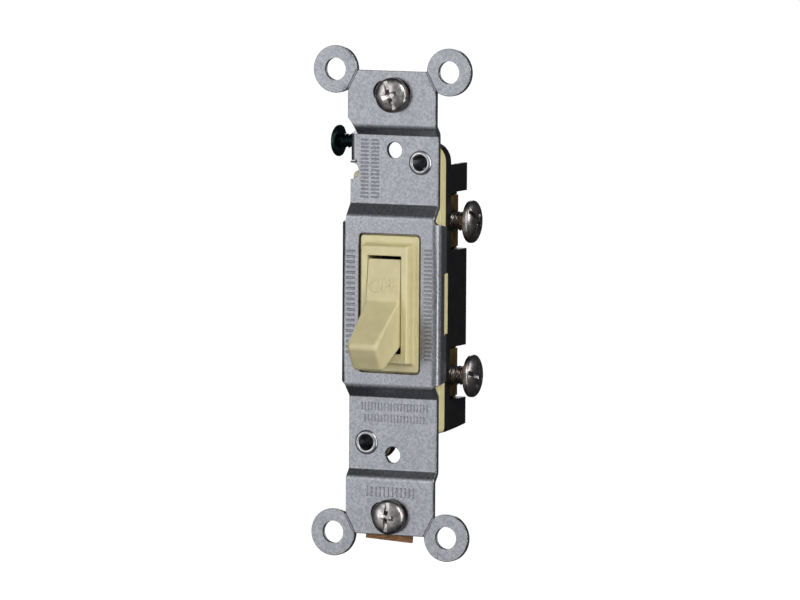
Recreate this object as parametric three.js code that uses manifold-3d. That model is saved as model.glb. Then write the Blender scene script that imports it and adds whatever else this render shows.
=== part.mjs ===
// A toggle wall switch of the framed, side-wired kind: a bent steel mounting strap, an ivory cover with the toggle's
// frame, a black body with two side terminals, and the snap mechanism inside.
// Millimetres. X runs to the right, Y back into the wall and Z up. The origin lies on the wall plane, the back face
// of the strap's end plates, midway between the two slots for the box screws.
import * as THREE from "three";
import { mergeVertices } from "three/addons/utils/BufferGeometryUtils.js";
import Module from "manifold-3d";

const wasm = await Module();
wasm.setup();

// ---------------------------------------------------------------------------------------------- driving dimensions
const GAP = 0.1; // between pieces that are clamped together
const SHEET = 1.2; // strap steel
const CLEAR = 1; // how far a cutting tool reaches past the face it opens
const SCREW_SPACING = 83.34; // device box screws, 3 9/32 in
const PLATE_HOLE_SPACING = 60.33; // wall plate screws, 2 3/8 in

const strap = {
  halfWidth: 9.45,
  halfHeight: 45.9,
  recessY: 0.3, // front face of the recessed stretches
  centreY: -1.8, // front face of the raised middle
  plateEndZ: 34.9, // end plates' inner bend
  recessOuterZ: 33.4,
  recessTop: { innerZ: 19.3, centreZ: 16.9 },
  recessBottom: { innerZ: 18.5, centreZ: 16.4 },
  bendRadius: 1.0, // at mid-thickness
  flangeHalfX: 10.65, // outer faces of the side flanges
  flangeHalfZ: 15.85,
  flangeEndY: 2.1,
  flangeNotchHalfZ: 6.1,
  flangeNotchDepth: 1.0,
  windowHalfX: 6.6,
  windowHalfZ: 13.75,
  windowRadius: 0.8,
  chamfer: [
    [-9.45, 36.5],
    [-8.15, 34.8],
    [-8.0, 33.6],
  ], // the corner beside the ground tab, in X and Z
  depth: [-3, 4], // in Y: it holds the bent sheet with room to spare
};
const ear = { x: 12.16, radius: 4.7, holeRadius: 2.4 };
const slot = { halfLength: 3.9, radius: 2.15 };
const plateHoleRadius = 1.6;
const rivet = { x: 5.61, z: 27.86, hole: 1.5, tube: 1.85, rim: 2.45, rimHeight: 0.5, rimEdge: 0.25 };
const tab = {
  bottomZ: 27.7,
  topZ: 32.9,
  bendX: -8.0,
  bendRadius: 0.9,
  rootOverlap: 0.2,
  faceX: -9.75,
  endY: 8.4,
  screwY: 4.6,
  screwZ: 31.4,
};
const relief = { radius: 1.75, z: 25.9 };

const cover = {
  halfX: 9.4,
  halfZ: 25.8,
  cornerRadius: 1.2,
  frontY: 1.6,
  backY: 4.35,
  raisedY: -0.45,
  platformHalfX: 6.35,
  platformHalfZ: 13.5,
  platformY: -1.65,
  platformRadius: 0.7,
  frameRadius: 0.6,
  frameHalfX: 5.05,
  frameHalfZ: 11.7,
  frameY: -4.5,
  lip: 0.9, // thickness of the frame's front wall
  slotHalfX: 3.6,
  slotHalfZ: 9.65,
  hollowHalfX: 4.2,
  hollowHalfZ: 10.9,
  raisedTop: { slopeStartZ: 16.4, slopeEndZ: 18.8 },
  raisedBottom: { slopeStartZ: 15.9, slopeEndZ: 18.0 },
  ribX: 9.95,
  strapGap: 0.15, // between the raised middle and the strap's flanges
  pinGap: 0.12, // round the toggle's pins
};

const body = {
  frontY: 4.45,
  flangeY: 6.8,
  wingY: 14.8,
  wingLobeEndZ: 27.2, // the wing's end beside a rivet's lobe, and its other, tapered end
  wingEndZ: 25.6,
  wingTaper: 0.9,
  rearY: 17.0,
  rearHalfX: 6.3,
  rearHalfZ: 24.0,
  cavityHalfX: 4.9,
  cavityHalfZ: 20.5,
  floorY: 15.4,
  wingRoot: 0.5, // how far the wings and the rear reach into what they grow from
  rearRadius: 1.4,
  bayFloorX: 7.0,
  upperBay: [10.2, 21.7],
  lowerBay: [-19.4, -9.0],
  screwHoleRadius: 2.3,
  headGap: 0.3, // room round a driven terminal screw's head
  rivetWell: 0.6, // room round a rivet's rim
  ledge: { innerX: 3.7, outerX: 5.4, backY: 6.6, halfZ: 2.2 }, // holds a toggle pin in its bearing
};

const toggle = {
  pivotY: 1.6,
  halfX: 3.35,
  restAngle: 33, // degrees below the horizontal
  tipU: 18.75, // distances along the lever from the pivot
  rootU: 5.35,
  wingU: -0.1,
  tipHalfV: 3.3,
  rootHalfV: 4.3,
  wingHalfV: 10.3,
  wingThickness: 1.5,
  tipFall: 0.95, // from the middle of the end face to its long edges
  tipSteps: [
    [0.35, 0.8],
    [0, 2.5],
  ], // the rounded end face: fall from its middle, and distance in from its long edges
  hubRadius: 3.5,
  pinRadius: 1.5,
  pinX: 4.75,
  seatU: -3.6, // the spring's shoulder
  seatHalf: 2.1,
  seatRootHalf: 2.6,
  pegHalf: 0.8,
  cam: {
    radius: 8.85, // reach of the leg that holds the contact arm open
    innerX: 2.4,
    rootHalf: 1.6,
    neckHalf: 0.9,
    tipHalf: 0.35,
    tipFall: 0.7,
  },
};

const spring = {
  coilRadius: 1.72,
  wireRadius: 0.24,
  turns: 7,
  stepsPerTurn: 12,
  baseY: 15.1,
  lead: 3.2, // the coil's axis leaves each end straight for about this far
  endGap: 0.12,
  pegRadius: 1.1,
  pegHeight: 1.0,
};

const terminal = {
  innerX: 7.1,
  outerX: 8.1,
  frontY: 7.3,
  backY: 13.6,
  screwY: 10.9,
  upperScrewZ: 15.8,
  lowerScrewZ: -14.8,
  upperPlate: [10.6, 20.9],
  lowerPlate: [-19.0, -9.6],
  legX: 2.3, // inner end of the leg that reaches into the body
  legRoot: 0.5,
  legThickness: 0.8,
  upperLeg: [10.6, 13.0],
  lowerLeg: [-12.6, -9.7],
  armGap: 0.25, // between the contact arm and the leg behind it
};
const arm = {
  frontY: 10.6,
  thickness: 0.4,
  innerX: 2.3,
  outerX: 4.6,
  bottomZ: -12.6,
  topZ: 13.1,
  rivetZ: -11.2,
  contactZ: 11.8,
  contactX: 3.5,
};
const contact = {
  radius: 1.05,
  thickness: 0.5,
  edge: 0.18,
  shankRadius: 0.5,
  holeRadius: 0.6,
  shankShare: 0.9, // of the thickness it sits in
  seatGap: 0.03,
};
const armRivetSize = {
  headRadius: 1.25,
  crownRadius: 0.8,
  headHeight: 0.5,
  headEdge: 0.4,
  headGap: 0.12,
  shank: 0.65,
  tailRadius: 1.1,
  tailCrown: 0.9,
  tailHeight: 0.4,
  tailGap: 0.05,
  armHole: 0.9,
  legHole: 0.75,
};

const mountScrew = { headRadius: 3.45, rim: 1.1, headHeight: 2.5, shank: 1.55, length: 19 };
const mountScrewTurn = 20; // degrees
const mountScrewPlace = { upper: [0.45, 41.15], lower: [0.3, -42.2] }; // X and Z: they hang loosely in the slots
const terminalScrew = { headRadius: 4.25, rim: 0.7, headHeight: 1.9, shank: 1.95, length: 5.0 };
const terminalScrewHeadX = { upper: 11.6, lower: 11.95 };
const groundScrew = { headRadius: 3.15, rim: 0.5, headHeight: 1.6, shank: 1.45, length: 7.0, headX: -13.4 };
const screwHead = { edge: 0.15, edgeY: -0.05, undercut: 0.5, tipFall: 0.6, tipChamfer: 0.5, domeSteps: 4 };
const recess = { slotHalf: 0.42, slotDepth: 0.75, crossExtra: 0.5, crossShare: 0.48 };
const retainer = {
  halfSize: 4.95,
  thickness: 0.8,
  turn: 3.5, // degrees
  x: -0.35,
  upperZ: 40.6,
  lowerZ: -42.2,
  strapGap: 0.05,
  screwGap: 0.04,
};

// -------------------------------------------------------------------------------------------------------- toolbox
const degrees = THREE.MathUtils.degToRad;

// A closed three.js geometry as a solid for joining and cutting.
function solid(geometry) {
  const plain = geometry.clone();
  plain.deleteAttribute("normal");
  plain.deleteAttribute("uv");
  const merged = mergeVertices(plain, 1e-4);
  return new wasm.Manifold(
    new wasm.Mesh({
      numProp: 3,
      vertProperties: merged.attributes.position.array,
      triVerts: new Uint32Array(merged.index.array),
    }),
  );
}

function geometryOf(made) {
  const mesh = made.getMesh();
  const geometry = new THREE.BufferGeometry();
  geometry.setAttribute("position", new THREE.BufferAttribute(mesh.vertProperties, 3));
  geometry.setIndex(new THREE.BufferAttribute(mesh.triVerts, 1));
  geometry.computeVertexNormals();
  return geometry;
}

const join = (...solids) => solids.reduce((a, b) => a.add(b));
const cut = (base, ...tools) => tools.reduce((a, b) => a.subtract(b), base);

function extruded(shape, depth, curveSegments = 6) {
  return new THREE.ExtrudeGeometry(shape, { depth, bevelEnabled: false, curveSegments });
}

// A shape drawn in X and Z, extruded from y0 to y1.
function prismY(shape, y0, y1, curveSegments) {
  return solid(extruded(shape, y1 - y0, curveSegments).rotateX(Math.PI / 2).translate(0, y1, 0));
}

// A shape drawn in Y and Z, extruded from x0 to x1.
function prismX(shape, x0, x1, curveSegments) {
  const turn = new THREE.Matrix4().makeBasis(
    new THREE.Vector3(0, 1, 0),
    new THREE.Vector3(0, 0, 1),
    new THREE.Vector3(1, 0, 0),
  );
  return solid(extruded(shape, x1 - x0, curveSegments).applyMatrix4(turn).translate(x0, 0, 0));
}

// A shape drawn in X and Y, extruded from z0 to z1.
function prismZ(shape, z0, z1, curveSegments) {
  return solid(extruded(shape, z1 - z0, curveSegments).translate(0, 0, z0));
}

function box(x0, x1, y0, y1, z0, z1) {
  const geometry = new THREE.BoxGeometry(x1 - x0, y1 - y0, z1 - z0);
  return solid(geometry.translate((x0 + x1) / 2, (y0 + y1) / 2, (z0 + z1) / 2));
}

// A round bar along X, Y or Z between two places on that axis; a and b are its other two coordinates in X, Y, Z order.
function bar(axis, from, to, radius, a, b, segments = 20) {
  const geometry = new THREE.CylinderGeometry(radius, radius, to - from, segments);
  const middle = (from + to) / 2;
  if (axis === "x") geometry.rotateZ(-Math.PI / 2).translate(middle, a, b);
  if (axis === "y") geometry.translate(a, middle, b);
  if (axis === "z") geometry.rotateX(Math.PI / 2).translate(a, b, middle);
  return solid(geometry);
}

function roundedRect(halfX, halfY, radius) {
  const shape = new THREE.Shape();
  shape.absarc(halfX - radius, -halfY + radius, radius, -Math.PI / 2, 0);
  shape.absarc(halfX - radius, halfY - radius, radius, 0, Math.PI / 2);
  shape.absarc(-halfX + radius, halfY - radius, radius, Math.PI / 2, Math.PI);
  shape.absarc(-halfX + radius, -halfY + radius, radius, Math.PI, Math.PI * 1.5);
  return shape;
}

function obround(halfLength, radius, x, y) {
  const shape = new THREE.Shape();
  shape.absarc(x + halfLength - radius, y, radius, -Math.PI / 2, Math.PI / 2);
  shape.absarc(x - halfLength + radius, y, radius, Math.PI / 2, Math.PI * 1.5);
  return shape;
}

const polygon = (points) => new THREE.Shape(points.map(([x, y]) => new THREE.Vector2(x, y)));

// The outline of a bent sheet: a line of corners at mid-thickness, each rounded to the radius, made as thick as the
// sheet.
function bentSheet(corners, thickness, radius, steps = 3) {
  const line = corners.map(([x, y]) => new THREE.Vector2(x, y));
  const left = [];
  const right = [];
  const put = (point, normal) => {
    left.push(point.clone().addScaledVector(normal, thickness / 2));
    right.push(point.clone().addScaledVector(normal, -thickness / 2));
  };
  const normalOf = (direction) => new THREE.Vector2(-direction.y, direction.x);
  line.forEach((corner, i) => {
    const before = i > 0 ? corner.clone().sub(line[i - 1]).normalize() : null;
    const after = i < line.length - 1 ? line[i + 1].clone().sub(corner).normalize() : null;
    if (!before || !after) {
      put(corner, normalOf(before || after));
      return;
    }
    const turn = Math.atan2(before.cross(after), before.dot(after));
    const reach = radius * Math.tan(Math.abs(turn) / 2);
    const start = corner.clone().addScaledVector(before, -reach);
    const centre = start.clone().addScaledVector(normalOf(before), Math.sign(turn) * radius);
    for (let step = 0; step <= steps; step++) {
      const angle = (turn * step) / steps;
      const spoke = start.clone().sub(centre).rotateAround(new THREE.Vector2(), angle);
      put(centre.clone().add(spoke), normalOf(before).rotateAround(new THREE.Vector2(), angle));
    }
  });
  return new THREE.Shape([...left, ...right.reverse()]);
}

// A solid turned about the Y axis through (x, z): the profile is [radius, y] with y rising along the outside.
function turned(profile, segments, x = 0, z = 0) {
  const geometry = new THREE.LatheGeometry(
    profile.map(([radius, y]) => new THREE.Vector2(radius, y)),
    segments,
  );
  return solid(geometry.translate(x, 0, z));
}

// -------------------------------------------------------------------------------------------------------- the strap
function strapProfile() {
  const middle = SHEET / 2;
  const half = ({ innerZ, centreZ }, side) =>
    [
      [strap.centreY + middle, centreZ],
      [strap.recessY + middle, innerZ],
      [strap.recessY + middle, strap.recessOuterZ],
      [-middle, strap.plateEndZ],
      [-middle, strap.halfHeight + ear.radius + 1],
    ].map(([y, z]) => [y, side * z]);
  const corners = [...half(strap.recessBottom, -1).reverse(), ...half(strap.recessTop, 1)];
  return bentSheet(corners, SHEET, strap.bendRadius);
}

function strapOutline() {
  const { halfWidth, halfHeight, chamfer } = strap;
  const [front, back] = strap.depth;
  const plate = polygon([
    [-halfWidth, -halfHeight],
    [halfWidth, -halfHeight],
    [halfWidth, halfHeight],
    [-halfWidth, halfHeight],
    ...chamfer,
    [tab.bendX, tab.bottomZ],
    [-halfWidth, tab.bottomZ],
  ]);
  let outline = prismY(plate, front, back);
  for (const x of [-ear.x, ear.x]) {
    for (const z of [-halfHeight, halfHeight]) {
      outline = cut(
        join(outline, bar("y", front, back, ear.radius, x, z, 40)),
        bar("y", front - CLEAR, back + CLEAR, ear.holeRadius, x, z, 24),
      );
    }
  }
  return outline;
}

function mountingStrap() {
  const [front, back] = strap.depth;
  const reach = ear.x + ear.radius + CLEAR;
  const tall = strap.halfHeight + ear.radius + CLEAR;
  const bent = prismX(strapProfile(), -reach, reach).intersect(strapOutline());
  const middleBox = box(-reach, reach, front - CLEAR, back + CLEAR, -strap.flangeHalfZ, strap.flangeHalfZ);
  const ends = cut(bent, middleBox);

  const sideX = strap.flangeHalfX - SHEET / 2;
  const faceY = strap.centreY + SHEET / 2;
  const channel = bentSheet(
    [
      [-sideX, strap.flangeEndY],
      [-sideX, faceY],
      [sideX, faceY],
      [sideX, strap.flangeEndY],
    ],
    SHEET,
    strap.bendRadius,
    4,
  );
  const middle = prismZ(channel, -strap.flangeHalfZ, strap.flangeHalfZ);

  const tabX = tab.faceX + SHEET / 2;
  const recessMid = strap.recessY + SHEET / 2;
  const groundTab = prismZ(
    bentSheet(
      [
        [tab.bendX + tab.rootOverlap, recessMid],
        [tabX, recessMid],
        [tabX, tab.endY],
      ],
      SHEET,
      tab.bendRadius,
      4,
    ),
    tab.bottomZ,
    tab.topZ,
  );

  let made = join(ends, middle, groundTab);
  made = cut(
    made,
    prismY(roundedRect(strap.windowHalfX, strap.windowHalfZ, strap.windowRadius), front, back),
    box(
      -reach,
      reach,
      strap.flangeEndY - strap.flangeNotchDepth,
      back,
      -strap.flangeNotchHalfZ,
      strap.flangeNotchHalfZ,
    ),
    bar("x", tab.faceX - CLEAR, tab.bendX + CLEAR, groundScrew.shank + GAP, tab.screwY, tab.screwZ),
    bar("y", front, strap.recessY + SHEET + GAP, relief.radius, -strap.halfWidth, relief.z),
  );
  for (const side of [-1, 1]) {
    made = cut(
      made,
      prismY(obround(slot.halfLength, slot.radius, 0, (side * SCREW_SPACING) / 2), front, back, 8),
      bar("y", front, back, plateHoleRadius, 0, (side * PLATE_HOLE_SPACING) / 2),
      bar("y", front, back, rivet.tube + GAP, side * rivet.x, side * rivet.z),
    );
  }
  return made.intersect(box(-reach, reach, front - CLEAR, tab.endY + CLEAR, -tall, tall));
}

// -------------------------------------------------------------------------------------------------- cover and body
// The shared outline of cover and body: a block with a round lobe for each rivet, at opposite corners.
function casingOutline(y0, y1) {
  const lobeRadius = cover.halfX - rivet.x;
  const lobeRoot = cover.cornerRadius * 2;
  let outline = prismY(roundedRect(cover.halfX, cover.halfZ, cover.cornerRadius), y0, y1, 4);
  for (const side of [-1, 1]) {
    const outer = side * cover.halfX;
    const inner = side * (rivet.x - lobeRadius);
    outline = join(
      outline,
      bar("y", y0, y1, lobeRadius, side * rivet.x, side * rivet.z, 32),
      box(
        Math.min(inner, outer),
        Math.max(inner, outer),
        y0,
        y1,
        side > 0 ? cover.halfZ - lobeRoot : -rivet.z,
        side > 0 ? rivet.z : -cover.halfZ + lobeRoot,
      ),
    );
  }
  for (const side of [-1, 1]) {
    const hole = bar("y", y0 - CLEAR, y1 + CLEAR, rivet.tube + GAP, side * rivet.x, side * rivet.z);
    outline = cut(outline, hole);
  }
  return outline;
}

function frontCover() {
  const { raisedTop, raisedBottom } = cover;
  const raised = polygon([
    [cover.backY, -raisedBottom.slopeEndZ],
    [cover.backY, raisedTop.slopeEndZ],
    [cover.frontY, raisedTop.slopeEndZ],
    [cover.raisedY, raisedTop.slopeStartZ],
    [cover.raisedY, -raisedBottom.slopeStartZ],
    [cover.frontY, -raisedBottom.slopeEndZ],
  ]);
  const raisedHalfX = strap.flangeHalfX - SHEET - cover.strapGap;
  const ribY = strap.flangeEndY - strap.flangeNotchDepth + cover.strapGap;
  const ribHalfZ = strap.flangeNotchHalfZ - GAP;
  const pinHole = toggle.pinRadius + cover.pinGap;
  const pinEnd = toggle.pinX + cover.pinGap;
  const growFromY = cover.raisedY + CLEAR;
  return cut(
    join(
      casingOutline(cover.frontY, cover.backY),
      prismX(raised, -raisedHalfX, raisedHalfX),
      prismY(
        roundedRect(cover.platformHalfX, cover.platformHalfZ, cover.platformRadius),
        cover.platformY,
        growFromY,
        4,
      ),
      prismY(roundedRect(cover.frameHalfX, cover.frameHalfZ, cover.frameRadius), cover.frameY, growFromY, 4),
      box(-cover.ribX, cover.ribX, ribY, cover.backY, -ribHalfZ, ribHalfZ),
    ),
    box(
      -cover.hollowHalfX,
      cover.hollowHalfX,
      cover.frameY + cover.lip,
      cover.backY + CLEAR,
      -cover.hollowHalfZ,
      cover.hollowHalfZ,
    ),
    box(
      -cover.slotHalfX,
      cover.slotHalfX,
      cover.frameY - CLEAR,
      cover.frameY + cover.lip + CLEAR,
      -cover.slotHalfZ,
      cover.slotHalfZ,
    ),
    bar("x", -pinEnd, pinEnd, pinHole, toggle.pivotY, 0),
    box(-pinEnd, pinEnd, toggle.pivotY, cover.backY + CLEAR, -pinHole, pinHole),
  );
}

function rearBody() {
  const { flangeY, wingY, wingEndZ, wingTaper } = body;
  const wingStartY = flangeY - body.wingRoot;
  const wings = prismX(
    polygon([
      [wingStartY, wingEndZ],
      [wingStartY, -wingEndZ],
      [flangeY, -wingEndZ],
      [wingY, wingTaper - wingEndZ],
      [wingY, wingEndZ - wingTaper],
      [flangeY, wingEndZ],
    ]),
    -cover.halfX,
    cover.halfX,
  );
  // Beside a rivet's lobe the wing runs on, straight, to the lobe's end.
  const upperRun = box(rivet.x, cover.halfX, wingStartY, wingY, 0, body.wingLobeEndZ);
  const lowerRun = box(-cover.halfX, -rivet.x, wingStartY, wingY, -body.wingLobeEndZ, 0);
  const shell = join(
    casingOutline(body.frontY, flangeY),
    join(wings, upperRun, lowerRun).intersect(casingOutline(wingStartY, wingY)),
    prismY(
      roundedRect(body.rearHalfX, body.rearHalfZ, body.rearRadius),
      wingY - body.wingRoot,
      body.rearY,
      4,
    ),
  );
  const tools = [
    box(
      -body.cavityHalfX,
      body.cavityHalfX,
      body.frontY - CLEAR,
      body.floorY,
      -body.cavityHalfZ,
      body.cavityHalfZ,
    ),
  ];
  for (const [bay, screwZ] of [
    [body.upperBay, terminal.upperScrewZ],
    [body.lowerBay, terminal.lowerScrewZ],
  ]) {
    tools.push(
      box(body.bayFloorX, cover.halfX + CLEAR, body.flangeY, body.wingY + CLEAR, ...bay),
      bar(
        "x",
        body.cavityHalfX - CLEAR,
        body.bayFloorX + CLEAR,
        body.screwHoleRadius,
        terminal.screwY,
        screwZ,
      ),
      bar(
        "x",
        terminal.innerX,
        cover.halfX + CLEAR,
        terminalScrew.headRadius + body.headGap,
        terminal.screwY,
        screwZ,
        32,
      ),
    );
  }
  for (const side of [-1, 1]) {
    const middle = [side * rivet.x, side * rivet.z];
    tools.push(
      bar("y", body.frontY - CLEAR, body.flangeY + CLEAR, rivet.tube + GAP, ...middle),
      bar("y", body.flangeY, body.rearY + CLEAR, rivet.rim + body.rivetWell, ...middle, 24),
    );
  }
  const legs = [upperLeg(), lowerLeg()];
  for (const leg of legs) {
    tools.push(
      box(
        body.cavityHalfX - CLEAR,
        body.bayFloorX + CLEAR,
        leg.y0 - GAP,
        leg.y1 + GAP,
        leg.z0 - GAP,
        leg.z1 + GAP,
      ),
    );
  }
  // Ledges that hold the toggle's pins in the cover's bearings, and the peg under the spring.
  const ledge = (side) => {
    const { innerX, outerX, backY, halfZ } = body.ledge;
    const x0 = Math.min(side * innerX, side * outerX);
    const x1 = Math.max(side * innerX, side * outerX);
    return box(x0, x1, body.frontY, backY, -halfZ, halfZ);
  };
  return join(
    cut(shell, ...tools),
    ledge(-1),
    ledge(1),
    bar("y", body.floorY - spring.pegHeight, body.floorY + CLEAR, spring.pegRadius, 0, 0, 16),
  );
}

function hollowRivet(side) {
  const { hole, tube, rim, rimHeight, rimEdge } = rivet;
  const front = strap.recessY - GAP / 2;
  const back = body.flangeY + GAP / 2;
  const crown = (hole + tube) / 2;
  const mouth = rimHeight / 2;
  const profile = [
    [hole, front - mouth],
    [crown, front - rimHeight],
    [rim - rimEdge, front - mouth],
    [rim, front],
    [tube, front],
    [tube, back],
    [rim, back],
    [rim - rimEdge, back + mouth],
    [crown, back + rimHeight],
    [hole, back + mouth],
    [hole, front - mouth],
  ];
  return turned(profile, 20, side * rivet.x, side * rivet.z);
}

// ----------------------------------------------------------------------------------------------------------- toggle
// A point in the lever's own frame, u along the lever and v across it, placed in Y and Z at rest.
function leverPoint([u, v]) {
  const tilt = degrees(toggle.restAngle);
  return [
    toggle.pivotY - u * Math.cos(tilt) - v * Math.sin(tilt),
    -u * Math.sin(tilt) + v * Math.cos(tilt),
  ];
}

const leverShape = (points) => polygon(points.map(leverPoint));

function toggleLever() {
  const { tipU, rootU, wingU, tipHalfV, rootHalfV, wingHalfV, wingThickness, halfX, pivotY } = toggle;
  const upper = [
    [tipU - toggle.tipFall, tipHalfV],
    [rootU, rootHalfV],
    [wingU, wingHalfV],
    [wingU - wingThickness * 0.75, wingHalfV - wingThickness * 0.65],
    [rootU - wingThickness * 1.6, rootHalfV - wingThickness / 4],
    [0, toggle.hubRadius],
  ];
  const [shoulder, crown] = toggle.tipSteps;
  const tip = [
    [tipU - shoulder[0], -tipHalfV + shoulder[1]],
    [tipU - crown[0], -tipHalfV + crown[1]],
    [tipU - crown[0], tipHalfV - crown[1]],
    [tipU - shoulder[0], tipHalfV - shoulder[1]],
  ];
  const lower = upper.map(([u, v]) => [u, -v]).reverse();
  // The lever's frame is turned half round from Y and Z, so the outline runs the other way about.
  const outline = [...lower, ...tip, ...upper].reverse();
  const lever = prismX(leverShape(outline), -halfX, halfX);
  const hub = bar("x", -halfX, halfX, toggle.hubRadius, pivotY, 0, 28);
  const pins = bar("x", -toggle.pinX, toggle.pinX, toggle.pinRadius, pivotY, 0, 20);
  return join(lever, hub, pins, springSeat(), camLeg());
}

// The shoulder the spring pushes on, with the peg that keeps the coil in place.
function springSeat() {
  const { seatU, seatHalf, seatRootHalf, pegHalf } = toggle;
  const pegEnd = seatU - spring.pegHeight;
  const block = leverShape([
    [seatU, seatHalf],
    [0, seatRootHalf],
    [0, -seatRootHalf],
    [seatU, -seatHalf],
  ]);
  const peg = leverShape([
    [pegEnd, pegHalf],
    [0, pegHalf],
    [0, -pegHalf],
    [pegEnd, -pegHalf],
  ]);
  return join(prismX(block, -seatHalf, seatHalf), prismX(peg, -pegHalf, pegHalf));
}

// The leg whose tip rides on the contact arm.
function camLeg() {
  const { radius, innerX, rootHalf, neckHalf, tipHalf, tipFall } = toggle.cam;
  const tipY = toggle.pivotY + radius;
  const leg = polygon([
    [toggle.pivotY, -rootHalf],
    [tipY - tipFall, -neckHalf],
    [tipY, -tipHalf],
    [tipY, tipHalf],
    [tipY - tipFall, neckHalf],
    [toggle.pivotY, rootHalf],
  ]);
  return prismX(leg, innerX, toggle.halfX);
}

// ----------------------------------------------------------------------------------------------------------- spring
// The coil's axis bows from the peg on the body's floor to the shoulder of the tilted toggle.
class BowedCoil extends THREE.Curve {
  constructor() {
    super();
    const [seatY, seatZ] = leverPoint([toggle.seatU - spring.wireRadius - spring.endGap, 0]);
    const [leadY, leadZ] = leverPoint([toggle.seatU - spring.lead, 0]);
    this.axis = new THREE.CubicBezierCurve(
      new THREE.Vector2(spring.baseY, 0),
      new THREE.Vector2(spring.baseY - spring.lead, 0),
      new THREE.Vector2(leadY, leadZ),
      new THREE.Vector2(seatY, seatZ),
    );
  }

  getPoint(t, target = new THREE.Vector3()) {
    const centre = this.axis.getPoint(t);
    const along = this.axis.getTangent(t);
    const angle = t * spring.turns * Math.PI * 2;
    const across = Math.sin(angle) * spring.coilRadius;
    return target.set(
      Math.cos(angle) * spring.coilRadius,
      centre.x - along.y * across,
      centre.y + along.x * across,
    );
  }
}

function toggleSpring() {
  const wire = new THREE.Shape();
  wire.absarc(0, 0, spring.wireRadius, 0, Math.PI * 2);
  const geometry = new THREE.ExtrudeGeometry(wire, {
    extrudePath: new BowedCoil(),
    steps: spring.turns * spring.stepsPerTurn,
    curveSegments: 3,
    bevelEnabled: false,
  });
  return solid(geometry);
}

// ------------------------------------------------------------------------------------- terminals and contact system
function upperLeg() {
  const y0 = terminal.frontY;
  const [z0, z1] = terminal.upperLeg;
  return { y0, y1: y0 + terminal.legThickness, z0, z1 };
}

function lowerLeg() {
  const y0 = arm.frontY + arm.thickness + terminal.armGap;
  const [z0, z1] = terminal.lowerLeg;
  return { y0, y1: y0 + terminal.legThickness, z0, z1 };
}

function terminalPlate(leg, [z0, z1], screwZ) {
  return cut(
    join(
      box(terminal.innerX, terminal.outerX, terminal.frontY, terminal.backY, z0, z1),
      box(terminal.legX, terminal.innerX + terminal.legRoot, leg.y0, leg.y1, leg.z0, leg.z1),
    ),
    bar(
      "x",
      terminal.innerX - CLEAR,
      terminal.outerX + CLEAR,
      terminalScrew.shank + GAP,
      terminal.screwY,
      screwZ,
    ),
  );
}

const upperTerminal = () =>
  cut(
    terminalPlate(upperLeg(), terminal.upperPlate, terminal.upperScrewZ),
    bar(
      "y",
      upperLeg().y0 - CLEAR,
      upperLeg().y1 + CLEAR,
      contact.holeRadius,
      arm.contactX,
      arm.contactZ,
      12,
    ),
  );

const lowerTerminal = () =>
  cut(
    terminalPlate(lowerLeg(), terminal.lowerPlate, terminal.lowerScrewZ),
    bar(
      "y",
      lowerLeg().y0 - CLEAR,
      lowerLeg().y1 + CLEAR,
      armRivetSize.legHole,
      arm.contactX,
      arm.rivetZ,
      12,
    ),
  );

function contactArm() {
  const { frontY, thickness, innerX, outerX, bottomZ, topZ } = arm;
  return cut(
    box(innerX, outerX, frontY, frontY + thickness, bottomZ, topZ),
    bar("y", frontY - CLEAR, frontY + CLEAR, armRivetSize.armHole, arm.contactX, arm.rivetZ, 16),
    bar("y", frontY - CLEAR, frontY + CLEAR, contact.holeRadius, arm.contactX, arm.contactZ, 12),
  );
}

// A contact button with its own short shank, facing back (+1) or forward (-1).
function contactButton(seatY, facing, shankLength) {
  const face = seatY + facing * contact.thickness;
  const domed = [
    [0, face],
    [contact.radius * 0.7, face],
    [contact.radius, face - facing * contact.edge],
    [contact.radius, seatY],
    [contact.shankRadius, seatY],
    [contact.shankRadius, seatY - facing * shankLength],
    [0, seatY - facing * shankLength],
  ];
  return turned(facing > 0 ? domed.reverse() : domed, 16, arm.contactX, arm.contactZ);
}

const fixedContact = () =>
  contactButton(upperLeg().y1 + contact.seatGap, 1, terminal.legThickness * contact.shankShare);
const movingContact = () =>
  contactButton(arm.frontY - contact.seatGap, -1, arm.thickness * contact.shankShare);

function armRivet() {
  const { headRadius, crownRadius, headHeight, headEdge, headGap, shank, tailGap } = armRivetSize;
  const { tailRadius, tailCrown, tailHeight } = armRivetSize;
  const headY = arm.frontY - headGap;
  const tailY = lowerLeg().y1 + tailGap;
  const profile = [
    [0, headY - headHeight],
    [crownRadius, headY - headEdge],
    [headRadius, headY],
    [shank, headY],
    [shank, tailY],
    [tailRadius, tailY],
    [tailCrown, tailY + tailHeight],
    [0, tailY + tailHeight],
  ];
  return turned(profile, 16, arm.contactX, arm.rivetZ);
}

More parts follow.
